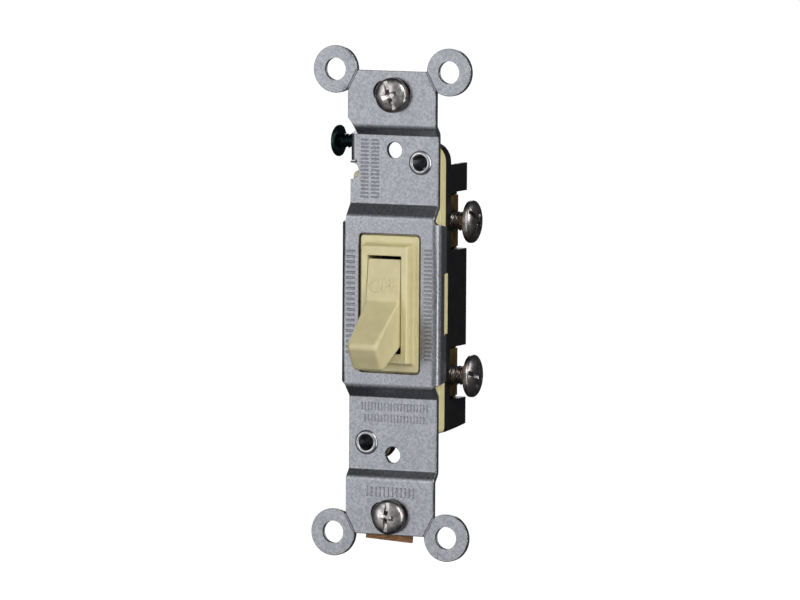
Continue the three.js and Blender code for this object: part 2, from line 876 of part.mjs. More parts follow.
// ----------------------------------------------------------------------------------------------------------- screws
// A screw along Y with its head towards -Y and the head's underside at y 0. The recess is a cross in a full-width slot.
function screw({ headRadius, headHeight, rim, shank, length }, segments = 28) {
  const rise = headHeight - rim;
  const dome = [];
  for (let step = 0; step <= screwHead.domeSteps; step++) {
    const angle = (step / screwHead.domeSteps) * (Math.PI / 2);
    dome.push([headRadius * Math.sin(angle), -rim - rise * Math.cos(angle)]);
  }
  const outline = [
    ...dome,
    [headRadius - screwHead.edge, screwHead.edgeY],
    [headRadius - screwHead.undercut, 0],
    [shank, 0],
    [shank, length - screwHead.tipFall],
    [shank - screwHead.tipChamfer, length],
    [0, length],
  ];
  const { slotHalf } = recess;
  const crossHalf = headRadius * recess.crossShare;
  const outerY = -headHeight - CLEAR;
  const slotY = -headHeight + recess.slotDepth;
  const crossY = slotY + recess.crossExtra;
  return cut(
    turned(outline, segments),
    box(-headRadius, headRadius, outerY, slotY, -slotHalf, slotHalf),
    box(-slotHalf, slotHalf, outerY, crossY, -crossHalf, crossHalf),
    box(-crossHalf, crossHalf, outerY, crossY, -slotHalf, slotHalf),
  );
}

function screwRetainer(side) {
  const { halfSize, thickness, turn, strapGap, screwGap } = retainer;
  const [holeX, holeZ] = side > 0 ? mountScrewPlace.upper : mountScrewPlace.lower;
  const centreZ = side > 0 ? retainer.upperZ : retainer.lowerZ;
  const sheet = solid(
    new THREE.BoxGeometry(halfSize * 2, thickness, halfSize * 2)
      .rotateY(degrees(turn))
      .translate(retainer.x, thickness / 2 + strapGap, centreZ),
  );
  return cut(sheet, bar("y", -CLEAR, thickness + CLEAR, mountScrew.shank + screwGap, holeX, holeZ));
}

// --------------------------------------------------------------------------------------------------------- assembly
function material(color, roughness, metalness) {
  return new THREE.MeshStandardMaterial({ color, roughness, metalness });
}

const zinc = material(0xa9adb3, 0.45, 0.9);
const ivory = material(0xe3dcae, 0.45, 0);
const phenolic = material(0x141214, 0.5, 0);
const nickel = material(0x8f8a88, 0.3, 1);
const green = material(0x12332b, 0.3, 0.7);
const brass = material(0xc8a24a, 0.35, 1);
const bronze = material(0xb0793f, 0.4, 1);
const silver = material(0xd9d9d9, 0.25, 1);
const fibre = material(0x8a5328, 0.9, 0);
const springSteel = material(0x6f7276, 0.35, 1);

const group = new THREE.Group();

function place(name, made, look) {
  const mesh = new THREE.Mesh(geometryOf(made), look);
  mesh.name = name;
  group.add(mesh);
  return mesh;
}

place("mounting_strap", mountingStrap(), zinc);
place("front_cover", frontCover(), ivory);
place("rear_body", rearBody(), phenolic);
place("rivet_upper", hollowRivet(1), nickel);
place("rivet_lower", hollowRivet(-1), nickel);
place("toggle_lever", toggleLever(), ivory);
place("toggle_spring", toggleSpring(), springSteel);
place("terminal_plate_upper", upperTerminal(), brass);
place("terminal_plate_lower", lowerTerminal(), brass);
place("contact_arm", contactArm(), bronze);
place("contact_arm_rivet", armRivet(), brass);
place("contact_button_moving", movingContact(), silver);
place("contact_button_fixed", fixedContact(), silver);

for (const [side, label] of [
  [1, "upper"],
  [-1, "lower"],
]) {
  const terminalScrewMesh = place("terminal_screw_" + label, screw(terminalScrew), nickel);
  terminalScrewMesh.rotation.set(0, 0, Math.PI / 2);
  const screwZ = side > 0 ? terminal.upperScrewZ : terminal.lowerScrewZ;
  terminalScrewMesh.position.set(terminalScrewHeadX[label], terminal.screwY, screwZ);

  const mountScrewMesh = place("mounting_screw_" + label, screw(mountScrew), nickel);
  mountScrewMesh.rotation.set(0, degrees(mountScrewTurn), 0);
  const [x, z] = mountScrewPlace[label];
  mountScrewMesh.position.set(x, -SHEET - GAP, z);

  place("screw_retainer_" + label, screwRetainer(side), fibre);
}

const groundScrewMesh = place("ground_screw", screw(groundScrew), green);
groundScrewMesh.rotation.set(0, 0, -Math.PI / 2);
groundScrewMesh.position.set(groundScrew.headX, tab.screwY, tab.screwZ);

export default group;
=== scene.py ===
"""Toggle wall switch: the looks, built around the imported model.

X runs across, Y to the back and Z up. Lengths are in millimetres until piece() makes a mesh;
the floor, the lamps and the camera are in metres.
"""

import math

import bmesh
import bpy
from mathutils import Matrix, Vector


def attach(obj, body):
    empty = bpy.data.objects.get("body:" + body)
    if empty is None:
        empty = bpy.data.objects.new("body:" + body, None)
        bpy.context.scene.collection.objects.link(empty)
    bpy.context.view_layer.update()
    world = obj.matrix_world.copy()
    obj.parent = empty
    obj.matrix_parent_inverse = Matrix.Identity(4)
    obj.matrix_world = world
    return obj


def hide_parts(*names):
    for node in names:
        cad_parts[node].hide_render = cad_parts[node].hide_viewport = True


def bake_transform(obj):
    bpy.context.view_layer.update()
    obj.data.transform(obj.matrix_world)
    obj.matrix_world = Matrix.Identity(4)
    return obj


MM = 0.001
WELD = 1e-4  # points closer than this become one

# The strap
THICK = 1.2
STRAP_HALF = 9.45
EAR_X, EAR_Z, EAR_RADIUS, EAR_HOLE = 12.16, 45.9, 4.7, 2.4
EAR_MEETS = 125.2  # degrees round an ear at which its edge meets the plate's side
SNAP_Z = 42.06  # the height of that place, where an ear's snap-off line passes
BOX_SLOT_Z, BOX_SLOT_HALF, BOX_SLOT_RADIUS = 41.67, 1.75, 2.15
PLATE_SCREW_Z, PLATE_SCREW_HOLE = 30.165, 1.6
WINDOW_X, WINDOW_Z, WINDOW_RADIUS = 6.6, 13.75, 1.0
FLANGE_START, FLANGE_RADIUS, FLANGE_HALF_Z = 9.05, 1.0, 15.87
FLANGE_REACH, NOTCH_REACH, NOTCH_Z = 12.92, 11.92, 6.1
TAB_START, TAB_RADIUS, TAB_LOW, TAB_HIGH = 8.25, 0.9, 27.7, 33.27
TAB_REACH, TAB_BOTTOM, TAB_TOP, TAB_ROOT = -16.26, 27.85, 33.2, -8.1
TAB_HOLE_X, GROUND_Z, TAB_HOLE = -12.46, 31.4, 1.47
RELIEF_Z, RELIEF_RADIUS = 25.9, 1.75
BEND_RADIUS = 1.0

# The moulded parts
RIVET_X, RIVET_Z, RIVET_HOLE = 5.61, 27.86, 1.95
PIVOT_Y = 1.6
TILT = math.radians(33)
SLOT_X, SLOT_Z, HOLLOW_X, HOLLOW_Z = 3.6, 9.65, 4.2, 10.9
COVER_FRONT, COVER_BACK = 1.6, 4.35
CASING = (9.4, 25.8, 1.2, 3.79)  # half width, half height, corner radius and lobe radius

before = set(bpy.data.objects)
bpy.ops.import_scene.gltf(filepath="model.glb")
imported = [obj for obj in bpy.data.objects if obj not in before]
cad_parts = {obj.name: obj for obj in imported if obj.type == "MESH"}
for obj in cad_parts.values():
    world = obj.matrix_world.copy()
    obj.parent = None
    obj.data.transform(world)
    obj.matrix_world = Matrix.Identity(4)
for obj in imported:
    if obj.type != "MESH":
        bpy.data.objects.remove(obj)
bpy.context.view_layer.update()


# ------------------------------------------------------------------ shader graphs
class Graph:
    """A material's nodes, with short calls for the few kinds used here."""

    def __init__(self, name):
        self.mat = bpy.data.materials.new(name)
        self.mat.use_nodes = True
        self.tree = self.mat.node_tree
        self.shader = self.tree.nodes["Principled BSDF"]
        self.place = self.node("ShaderNodeTexCoord").outputs["Object"]

    def node(self, kind, **settings):
        made = self.tree.nodes.new(kind)
        for key, value in settings.items():
            setattr(made, key, value)
        return made

    def put(self, socket, value):
        """A link or a plain value into a socket."""
        if isinstance(value, bpy.types.NodeSocket):
            self.tree.links.new(value, socket)
        else:
            socket.default_value = value

    def math(self, operation, *values):
        made = self.node("ShaderNodeMath", operation=operation)
        for socket, value in zip(made.inputs, values):
            self.put(socket, value)
        return made.outputs[0]

    def smooth(self, value, start, end):
        """0 before start and 1 after end."""
        made = self.node("ShaderNodeMapRange", interpolation_type="SMOOTHSTEP")
        self.put(made.inputs["Value"], value)
        made.inputs["From Min"].default_value = start
        made.inputs["From Max"].default_value = end
        return made.outputs["Result"]

    def span(self, value, low, high):
        """0 to 1 as low to high."""
        made = self.node("ShaderNodeMapRange")
        self.put(made.inputs["Value"], value)
        made.inputs["To Min"].default_value = low
        made.inputs["To Max"].default_value = high
        return made.outputs["Result"]

    def noise(self, size_mm, detail, stretch=(1, 1, 1), seed=0.0):
        """Soft noise whose cells are about the given size."""
        mapping = self.node("ShaderNodeMapping")
        self.put(mapping.inputs["Vector"], self.place)
        mapping.inputs["Scale"].default_value = [s / (size_mm * MM) for s in stretch]
        mapping.inputs["Location"].default_value = (seed, seed * 1.7, seed * 0.6)
        made = self.node("ShaderNodeTexNoise")
        self.put(made.inputs["Vector"], mapping.outputs["Vector"])
        made.inputs["Scale"].default_value = 1.0
        made.inputs["Detail"].default_value = detail
        return made.outputs["Fac"]

    def mix(self, factor, first, second):
        made = self.node("ShaderNodeMix", data_type="RGBA")
        self.put(made.inputs["Factor"], factor)
        self.put(made.inputs[6], first)
        self.put(made.inputs[7], second)
        return made.outputs[2]

    def bump(self, height, depth_mm, strength):
        made = self.node("ShaderNodeBump")
        self.put(made.inputs["Height"], height)
        made.inputs["Distance"].default_value = depth_mm * MM
        made.inputs["Strength"].default_value = strength
        return made.outputs["Normal"]

    def finish(self, colour, roughness, normal=None, metallic=0.0, **sockets):
        """The material, with its shader's sockets filled."""
        self.put(self.shader.inputs["Base Color"], colour)
        self.put(self.shader.inputs["Roughness"], roughness)
        self.shader.inputs["Metallic"].default_value = metallic
        if normal:
            self.put(self.shader.inputs["Normal"], normal)
        for key, value in sockets.items():
            self.shader.inputs[key.replace("_", " ")].default_value = value
        return self.mat


def rgb(r, g, b):
    """A colour in linear light."""
    return (r, g, b, 1.0)


def galvanised_steel():
    """Zinc-plated sheet: fine speckle, soft blotches, and rows of plain stamped ticks, pressed in by bump and
    darkened with painted shade.
    """
    g = Graph("galvanised_steel")
    axes = g.node("ShaderNodeSeparateXYZ")
    g.put(axes.inputs[0], g.place)
    x, _, z = axes.outputs
    speckle = g.noise(0.46, 5.0)
    blotch = g.noise(3.2, 3.0, seed=4.0)
    grain = g.noise(0.16, 2.0, seed=9.0)

    def ticks(across, along, middle, half, start, end, pitch, thick):
        """A row of short stamped lines: across is the coordinate over the row, along the one it runs in."""
        wave = g.math("FRACT", g.math("DIVIDE", g.math("SUBTRACT", along, start * MM), pitch * MM))
        off = g.math("ABSOLUTE", g.math("SUBTRACT", wave, 0.5))
        bar = g.math("SUBTRACT", 1.0, g.smooth(off, thick, thick + 0.1))
        side = g.math("ABSOLUTE", g.math("SUBTRACT", across, middle * MM))
        inside = g.math("SUBTRACT", 1.0, g.smooth(side, (half - 0.12) * MM, half * MM))
        centre, reach = (start + end) / 2, abs(end - start) / 2
        far = g.math("ABSOLUTE", g.math("SUBTRACT", along, centre * MM))
        limits = g.math("LESS_THAN", far, reach * MM)
        return g.math("MULTIPLY", g.math("MULTIPLY", bar, inside), limits)

    rows = [
        ticks(x, z, -8.35, 0.95, -10.4, 10.6, 1.05, 0.13),
        ticks(x, z, 8.25, 0.85, -11.2, 11.2, 0.8, 0.13),
        ticks(x, z, -6.4, 0.85, 20.4, 32.4, 0.75, 0.13),
        ticks(x, z, -4.15, 0.85, 20.4, 32.4, 0.75, 0.13),
        ticks(z, x, -20.7, 0.75, -7.0, 7.7, 0.7, 0.12),
        ticks(z, x, -23.0, 0.7, -6.3, 7.0, 0.7, 0.12),
        ticks(z, x, -37.4, 0.95, -5.2, 5.6, 0.9, 0.13),
    ]
    facing = g.node("ShaderNodeSeparateXYZ")
    g.put(facing.inputs[0], g.node("ShaderNodeTexCoord").outputs["Normal"])
    front = g.math("LESS_THAN", facing.outputs[1], -0.3)
    stamped = rows[0]
    for row in rows[1:]:
        stamped = g.math("MAXIMUM", stamped, row)
    stamped = g.math("MULTIPLY", stamped, front)
    # The line where a plaster ear snaps off, pressed in by bump and darkened with painted shade like the
    # ticks.
    ax, az = g.math("ABSOLUTE", x), g.math("ABSOLUTE", z)
    over = g.math("ADD", g.math("MULTIPLY", g.math("SUBTRACT", ax, STRAP_HALF * MM), 0.888),
                  g.math("MULTIPLY", g.math("SUBTRACT", az, SNAP_Z * MM), 0.46))
    score = g.math("SUBTRACT", 1.0, g.smooth(g.math("ABSOLUTE", over), 0.08 * MM, 0.3 * MM))
    score = g.math("MULTIPLY", score, g.math("GREATER_THAN", az, 41.0 * MM))
    marks_relief_and_painted_shade = g.math("MAXIMUM", stamped, score)

    colour = g.mix(g.smooth(speckle, 0.3, 0.7), rgb(0.18, 0.185, 0.2), rgb(0.30, 0.305, 0.325))
    colour = g.mix(g.math("MULTIPLY", g.smooth(blotch, 0.45, 0.75), 0.35), colour, rgb(0.19, 0.195, 0.215))
    # Painted shade: the stamped ticks and the snap-off line are darkened in colour, standing in for shade
    # inside their grooves.
    colour = g.mix(g.math("MULTIPLY", marks_relief_and_painted_shade, 0.6), colour, rgb(0.14, 0.145, 0.16))
    height = g.math("ADD", g.math("MULTIPLY", speckle, 0.12), g.math("MULTIPLY", grain, 0.05))
    height = g.math("SUBTRACT", height, marks_relief_and_painted_shade)
    return g.finish(colour, g.span(speckle, 0.25, 0.38), g.bump(height, 0.1, 0.8), metallic=0.92)


def moulded(name, light, dark, rough, texture_mm, depth_mm, coat=0.0, level=0.5):
    """A moulded plastic: faint mottling and a fine moulded texture."""
    g = Graph(name)
    cloud = g.noise(2.4, 3.0)
    fine = g.noise(texture_mm, 3.0, seed=3.0)
    colour = g.mix(g.smooth(cloud, 0.3, 0.72), dark, light)
    return g.finish(
        colour, g.span(fine, rough, rough + 0.12), g.bump(fine, depth_mm, 0.6),
        Coat_Weight=coat, IOR=1.49, Specular_IOR_Level=level,
    )


def plated(name, light, dark, rough, scratch=0.5, metallic=1.0):
    """A plated or bare metal: drawn streaks and tarnish in patches."""
    g = Graph(name)
    tarnish = g.noise(1.3, 4.0, seed=2.0)
    streaks = g.noise(0.3, 2.0, stretch=(1, 1, 5), seed=6.0)
    colour = g.mix(g.smooth(tarnish, 0.38, 0.66), dark, light)
    return g.finish(
        colour, g.span(tarnish, rough + 0.1, rough), g.bump(streaks, 0.02, scratch), metallic=metallic
    )


def vulcanised_fibre():
    """Pressed brown fibre sheet with long soft threads."""
    g = Graph("vulcanised_fibre")
    threads = g.noise(0.35, 4.0, stretch=(0.25, 1, 1.6))
    blotch = g.noise(1.8, 3.0, seed=5.0)
    colour = g.mix(g.smooth(threads, 0.3, 0.7), rgb(0.13, 0.06, 0.025), rgb(0.4, 0.2, 0.08))
    colour = g.mix(g.math("MULTIPLY", blotch, 0.4), colour, rgb(0.22, 0.1, 0.04))
    return g.finish(colour, g.span(threads, 0.7, 0.9), g.bump(threads, 0.06, 0.8))


LOOKS = {
    "galvanised_steel": galvanised_steel(),
    "ivory_plastic": moulded(
        "ivory_plastic", rgb(0.66, 0.59, 0.32), rgb(0.61, 0.54, 0.285), 0.3, 0.14, 0.012, 0.15
    ),
    "ivory_toggle": moulded(
        "ivory_toggle", rgb(0.62, 0.55, 0.31), rgb(0.565, 0.495, 0.275), 0.38, 0.16, 0.02, 0.05
    ),
    "black_phenolic": moulded(
        "black_phenolic", rgb(0.006, 0.0055, 0.006), rgb(0.003, 0.003, 0.0035), 0.38, 0.3, 0.03, level=0.25
    ),
    "plated_rivet": plated("plated_rivet", rgb(0.5, 0.5, 0.52), rgb(0.28, 0.28, 0.3), 0.25),
    "nickel_steel": plated("nickel_steel", rgb(0.46, 0.43, 0.425), rgb(0.2, 0.185, 0.18), 0.25),
    "green_steel": plated(
        "green_steel", rgb(0.008, 0.032, 0.03), rgb(0.003, 0.011, 0.011), 0.14, 0.3, 0.75
    ),
    "brass": plated("brass", rgb(0.75, 0.5, 0.17), rgb(0.45, 0.27, 0.08), 0.25),
    "contact_bronze": plated("contact_bronze", rgb(0.6, 0.33, 0.16), rgb(0.35, 0.18, 0.08), 0.3),
    "contact_silver": plated("contact_silver", rgb(0.75, 0.75, 0.74), rgb(0.5, 0.49, 0.47), 0.25),
    "spring_steel": plated("spring_steel", rgb(0.4, 0.4, 0.42), rgb(0.2, 0.2, 0.22), 0.3),
    "vulcanised_fibre": vulcanised_fibre(),
}


# ------------------------------------------------------------------ mesh building
def bm_from(points, faces):
    """A bmesh from points and faces."""
    bm = bmesh.new()
    made = [bm.verts.new(p) for p in points]
    for face in faces:
        bm.faces.new([made[i] for i in face])
    bmesh.ops.recalc_face_normals(bm, faces=bm.faces)
    return bm


def merge(*parts):
    """Several bmeshes as one."""
    whole = bmesh.new()
    for part in parts:
        spare = bpy.data.meshes.new("spare")
        part.to_mesh(spare)
        whole.from_mesh(spare)
        bpy.data.meshes.remove(spare)
    return whole


def bevel_bm(bm, width, angle=30.0):
    """Every edge sharper than the angle, broken by a rounded width."""
    sharp = [e for e in bm.edges if len(e.link_faces) == 2 and e.calc_face_angle() > math.radians(angle)]
    bmesh.ops.bevel(
        bm, geom=sharp, offset=width, segments=2, profile=0.5, affect="EDGES", clamp_overlap=True
    )
    return bm


def piece(name, bm, node, body, look, smooth=38.0):
    """A finished object in place of a CAD node, riding on its body."""
    bmesh.ops.scale(bm, vec=(MM,) * 3, verts=bm.verts)
    mesh = bpy.data.meshes.new(name)
    bm.to_mesh(mesh)
    bm.free()
    mesh.shade_smooth()
    mesh.set_sharp_from_angle(angle=math.radians(smooth))
    obj = bpy.data.objects.new(name, mesh)
    bpy.context.scene.collection.objects.link(obj)
    mesh.materials.append(LOOKS[look])
    weighted = obj.modifiers.new("weighted", "WEIGHTED_NORMAL")
    weighted.keep_sharp = True
    weighted.weight = 90
    weighted.mode = "FACE_AREA"
    if node:
        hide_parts(node)
    if body:
        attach(obj, body)
    return obj


def rounded(corners, steps=5):
    """A closed outline from corners (a, b, radius), each rounded to its radius."""
    out = []
    count = len(corners)
    for i, (a, b, radius) in enumerate(corners):
        here = Vector((a, b))
        back = Vector(corners[i - 1][:2]) - here
        on = Vector(corners[(i + 1) % count][:2]) - here
        if radius <= 0:
            out.append((a, b))
            continue
        half = back.angle(on) / 2
        reach = min(radius / math.tan(half), 0.49 * back.length, 0.49 * on.length)
        start, end = here + back.normalized() * reach, here + on.normalized() * reach
        for step in range(steps + 1):
            t = step / steps
            p = start * (1 - t) ** 2 + here * 2 * t * (1 - t) + end * t * t
            out.append((p.x, p.y))
    return out


def arc(a, b, radius, start, end, steps):
    """Points round a centre from one angle to another, in degrees."""
    return [
        (a + radius * math.cos(math.radians(start + (end - start) * i / steps)),
         b + radius * math.sin(math.radians(start + (end - start) * i / steps)))
        for i in range(steps + 1)
    ]


def circle(a, b, radius, steps=48):
    """A closed round outline."""
    return arc(a, b, radius, 0, 360, steps)[:-1]


def plate(outline, holes, thickness, edge):
    """A flat plate in a and b with rounded edges, centred on c = 0."""
    curve = bpy.data.curves.new("plate", "CURVE")
    curve.dimensions = "2D"
    curve.fill_mode = "BOTH"
    curve.extrude = thickness / 2 - edge
    curve.bevel_depth = edge
    curve.bevel_resolution = 2
    curve.offset = -edge
    for points in [outline, *holes]:
        spline = curve.splines.new("POLY")
        spline.points.add(len(points) - 1)
        for point, (a, b) in zip(spline.points, points):
            point.co = (a, b, 0, 1)
        spline.use_cyclic_u = True
    holder = bpy.data.objects.new("plate", curve)
    bpy.context.scene.collection.objects.link(holder)
    flat = bpy.data.meshes.new_from_object(holder.evaluated_get(bpy.context.evaluated_depsgraph_get()))
    bm = bmesh.new()
    bm.from_mesh(flat)
    bpy.data.objects.remove(holder)
    bpy.data.curves.remove(curve)
    bpy.data.meshes.remove(flat)
    bmesh.ops.remove_doubles(bm, verts=bm.verts, dist=WELD)
    bmesh.ops.dissolve_limit(bm, angle_limit=math.radians(0.5), verts=[], edges=bm.edges)
    bmesh.ops.recalc_face_normals(bm, faces=bm.faces)
    return bm


def slice_bm(bm, axis, places):
    """Edges cut across bm at each place along an axis, so that it can bend there."""
    normal = Vector((axis == 0, axis == 1, axis == 2))
    for place in places:
        bmesh.ops.bisect_plane(
            bm, geom=[*bm.verts, *bm.edges, *bm.faces], dist=1e-5, plane_co=normal * place, plane_no=normal
        )


def lathe(profile, steps, closed=False):
    """A profile of (radius, y) turned about the Y axis."""
    points, faces, rings = [], [], []
    for radius, y in profile:
        if radius < 1e-6:
            rings.append([len(points)])
            points.append((0, y, 0))
            continue
        rings.append(list(range(len(points), len(points) + steps)))
        turns = [math.tau * i / steps for i in range(steps)]
        points += [(radius * math.cos(turn), y, radius * math.sin(turn)) for turn in turns]
    for low, high in zip(rings, rings[1:] + ([rings[0]] if closed else [])):
        for i in range(steps):
            j = (i + 1) % steps
            a, b = low[i % len(low)], low[j % len(low)]
            c, d = high[j % len(high)], high[i % len(high)]
            face = list(dict.fromkeys((a, b, c, d)))
            if len(face) > 2:
                faces.append(face)
    return bm_from(points, faces)


def ring_of(levels):
    """A closed ring lofted through rounded rectangles (half width, low z, high z, radius, y)."""
    points, faces, count = [], [], 0
    for half, low, high, radius, y in levels:
        outline = rounded([(half, low, radius), (half, high, radius),
                           (-half, high, radius), (-half, low, radius)])
        count = len(outline)
        points += [(a, y, b) for a, b in outline]
    total = len(levels)
    for level in range(total):
        for i in range(count):
            j = (i + 1) % count
            other = (level + 1) % total
            faces.append((level * count + i, level * count + j, other * count + j, other * count + i))
    return bm_from(points, faces)


def prism_x(outline, x0, x1):
    """An outline in y and z, from x0 to x1."""
    count = len(outline)
    points = [(x0, a, b) for a, b in outline] + [(x1, a, b) for a, b in outline]
    faces = [tuple(range(count)), tuple(range(count, 2 * count))]
    faces += [(i, (i + 1) % count, count + (i + 1) % count, count + i) for i in range(count)]
    return bm_from(points, faces)


def block(x0, x1, y0, y1, z0, z1):
    """A box between two values on each axis."""
    return prism_x([(y0, z0), (y1, z0), (y1, z1), (y0, z1)], x0, x1)


def boolean(base, tools):
    """base with each tool cut away."""
    made = []
    for bm in [base, *tools]:
        mesh = bpy.data.meshes.new("spare")
        bm.to_mesh(mesh)
        bm.free()
        obj = bpy.data.objects.new("spare", mesh)
        bpy.context.scene.collection.objects.link(obj)
        made.append(obj)
    for tool in made[1:]:
        modifier = made[0].modifiers.new("cut", "BOOLEAN")
        modifier.object, modifier.operation, modifier.solver = tool, "DIFFERENCE", "EXACT"
    out = bmesh.new()
    out.from_mesh(made[0].evaluated_get(bpy.context.evaluated_depsgraph_get()).to_mesh())
    for obj in made:
        mesh = obj.data
        bpy.data.objects.remove(obj)
        bpy.data.meshes.remove(mesh)
    bmesh.ops.remove_doubles(out, verts=out.verts, dist=WELD)
    return out


def refined(node, name, body, look, width):
    """A CAD node's own shape with its flat faces joined and its edges broken."""
    bm = bmesh.new()
    bm.from_mesh(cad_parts[node].data)
    bmesh.ops.scale(bm, vec=(1 / MM,) * 3, verts=bm.verts)
    bmesh.ops.remove_doubles(bm, verts=bm.verts, dist=2e-3)
    bmesh.ops.dissolve_limit(bm, angle_limit=math.radians(1.0), verts=bm.verts, edges=bm.edges)
    bevel_bm(bm, width, 28.0)
    return piece(name, bm, node, body, look)


# ------------------------------------------------------------------ the strap
# The middle of the sheet, as (y, z) corners from bottom to top.
PROFILE = [(-0.6, -52), (-0.6, -34.9), (0.9, -33.4), (0.9, -18.5), (-1.2, -16.4),
           (-1.2, 16.9), (0.9, 19.3), (0.9, 33.4), (-0.6, 34.9), (-0.6, 52)]


def bend_line(corners, radius):
    """Samples (length, y, z, normal y, normal z) along a line of corners rounded to the radius."""
    samples, steps = [], 7

    def add(point, angle):
        length = 0.0
        if samples:
            length = samples[-1][0] + math.dist(point, samples[-1][1:3])
        samples.append((length, point.x, point.y, math.sin(angle), -math.cos(angle)))

    pts = [Vector(c) for c in corners]
    for i, here in enumerate(pts):
        if i in (0, len(pts) - 1):
            way = pts[1] - pts[0] if i == 0 else pts[-1] - pts[-2]
            add(here, math.atan2(way.y, way.x))
            continue
        before, after = (here - pts[i - 1]).normalized(), (pts[i + 1] - here).normalized()
        start_angle = math.atan2(before.y, before.x)
        turn = math.atan2(before.x * after.y - before.y * after.x, before.dot(after))
        reach = radius * math.tan(abs(turn) / 2)
        side = math.copysign(1.0, turn)
        start = here - before * reach
        centre = start + Vector((-before.y, before.x)) * side * radius
        for step in range(steps + 1):
            angle = start_angle + turn * step / steps
            add(centre + Vector((math.sin(angle), -math.cos(angle))) * side * radius, angle)
    return samples


LINE = bend_line(PROFILE, BEND_RADIUS)


def between(value, column):
    """The sample at which a column has the value, mixed from its neighbours."""
    for low, high in zip(LINE, LINE[1:]):
        if low[column] <= value <= high[column]:
            t = (value - low[column]) / max(high[column] - low[column], 1e-9)
            return [a + (b - a) * t for a, b in zip(low, high)]
    return LINE[0] if value < LINE[0][column] else LINE[-1]


def flat(z):
    """How far along the sheet a height is."""
    return between(z, 2)[0]


def fold_side(x, t, start, radius):
    """A point of the flat sheet past a side bend, folded back: (x, depth)."""
    past = abs(x) - start
    side = math.copysign(1.0, x)
    angle = min(past / radius, math.pi / 2)
    beyond = max(past - radius * math.pi / 2, 0.0)
    spoke = radius - t
    return side * (start + spoke * math.sin(angle)), radius - spoke * math.cos(angle) + beyond


def fold(point):
    """A point of the flat sheet (across, along, through) as it sits in the bent strap."""
    x, s, t = point
    _, y, z, normal_y, normal_z = between(s, 0)
    if abs(x) > FLANGE_START and abs(z) < FLANGE_HALF_Z:
        x, t = fold_side(x, t, FLANGE_START, FLANGE_RADIUS)
    elif x < -TAB_START and TAB_LOW < z < TAB_HIGH:
        x, t = fold_side(x, t, TAB_START, TAB_RADIUS)
    length = math.hypot(normal_y, normal_z)
    return Vector((x, y + t * normal_y / length, z + t * normal_z / length))


def flange_edge():
    """The right edge of the flat sheet round one flange, with its notch, from bottom to top."""
    lower = [(STRAP_HALF, -17.0, 0.0), (STRAP_HALF, -16.35, 0.4), (10.1, -15.83, 0.4),
             (FLANGE_REACH, -15.35, 0.5), (FLANGE_REACH, -NOTCH_Z, 0.15), (NOTCH_REACH, -NOTCH_Z, 0.15)]
    upper = [(x, -z, radius) for x, z, radius in reversed(lower)]
    return rounded([*lower, *upper])


def tab_edge():
    """The left edge of the flat sheet from the upper plate, round the ground tab, to the relief under it."""
    tab = rounded([(TAB_ROOT, TAB_TOP, 0.0), (TAB_REACH, TAB_TOP, 1.0),
                   (TAB_REACH, TAB_BOTTOM, 1.0), (TAB_ROOT, TAB_BOTTOM, 0.0)])
    return [(-STRAP_HALF, 36.5), (-8.15, 34.8), (-8.0, 33.6), *tab, (TAB_ROOT, 27.6), (-STRAP_HALF, 27.6)]


def strap_piece():
    """The pressed strap: one flat outline with its holes, bent along the profile and at both sides."""
    flange = flange_edge()
    path = [
        *arc(EAR_X, -EAR_Z, EAR_RADIUS, -180, EAR_MEETS, 40),
        *flange,
        *arc(EAR_X, EAR_Z, EAR_RADIUS, -EAR_MEETS, 180, 40),
        *arc(-EAR_X, EAR_Z, EAR_RADIUS, 0, 180 + EAR_MEETS, 40),
        *tab_edge(),
        *arc(-STRAP_HALF, RELIEF_Z, RELIEF_RADIUS, 90, -90, 20),
        *[(-x, z) for x, z in reversed(flange)],
        *arc(-EAR_X, -EAR_Z, EAR_RADIUS, 180 - EAR_MEETS, 360, 40),
    ]
    outline = [(x, flat(z)) for x, z in path]
    holes = []
    for side in (-1, 1):
        holes += [circle(x, flat(side * EAR_Z), EAR_HOLE) for x in (-EAR_X, EAR_X)]
        centre = flat(side * BOX_SLOT_Z)
        right_end = arc(BOX_SLOT_HALF, centre, BOX_SLOT_RADIUS, -90, 90, 20)
        left_end = arc(-BOX_SLOT_HALF, centre, BOX_SLOT_RADIUS, 90, 270, 20)
        holes.append([*right_end, *left_end])
        holes.append(circle(0, flat(side * PLATE_SCREW_Z), PLATE_SCREW_HOLE))
        holes.append(circle(side * RIVET_X, flat(side * RIVET_Z), RIVET_HOLE))
    low, high = flat(-WINDOW_Z), flat(WINDOW_Z)
    holes.append(rounded([(WINDOW_X, low, WINDOW_RADIUS), (WINDOW_X, high, WINDOW_RADIUS),
                          (-WINDOW_X, high, WINDOW_RADIUS), (-WINDOW_X, low, WINDOW_RADIUS)]))
    holes.append(circle(TAB_HOLE_X, flat(GROUND_Z), TAB_HOLE, 32))
    bm = plate(outline, holes, THICK, 0.16)
    slice_bm(bm, 1, [sample[0] for sample in LINE[1:-1]] + [flat(-FLANGE_HALF_Z), flat(FLANGE_HALF_Z)])
    for k in range(7):
        bend = FLANGE_START + FLANGE_RADIUS * math.pi / 2 * k / 6
        slice_bm(bm, 0, [-bend, bend, -TAB_START - TAB_RADIUS * math.pi / 2 * k / 6])
    for vert in bm.verts:
        vert.co = fold(vert.co)
    bmesh.ops.remove_doubles(bm, verts=bm.verts, dist=WELD)
    bmesh.ops.recalc_face_normals(bm, faces=bm.faces)
    return piece("strap_sheet", bm, "mounting_strap", "housing", "galvanised_steel", 42.0)


strap_piece()


# ------------------------------------------------------------------ cover, body and rivets
def lobed_outline(half_x, half_z, radius, lobe):
    """The casing's outline: a block with a round lobe at two opposite corners."""
    corner = rounded([(half_x, half_z, 0.0), (half_x, -half_z, radius), (-half_x, -half_z, 0.0)])[1:-1]
    half = [*reversed(corner), (half_x, RIVET_Z - 6.0), *arc(RIVET_X, RIVET_Z, lobe, 0, 180, 24)]
    half.append((RIVET_X - lobe, half_z))
    return [*half, *[(-a, -b) for a, b in half]]


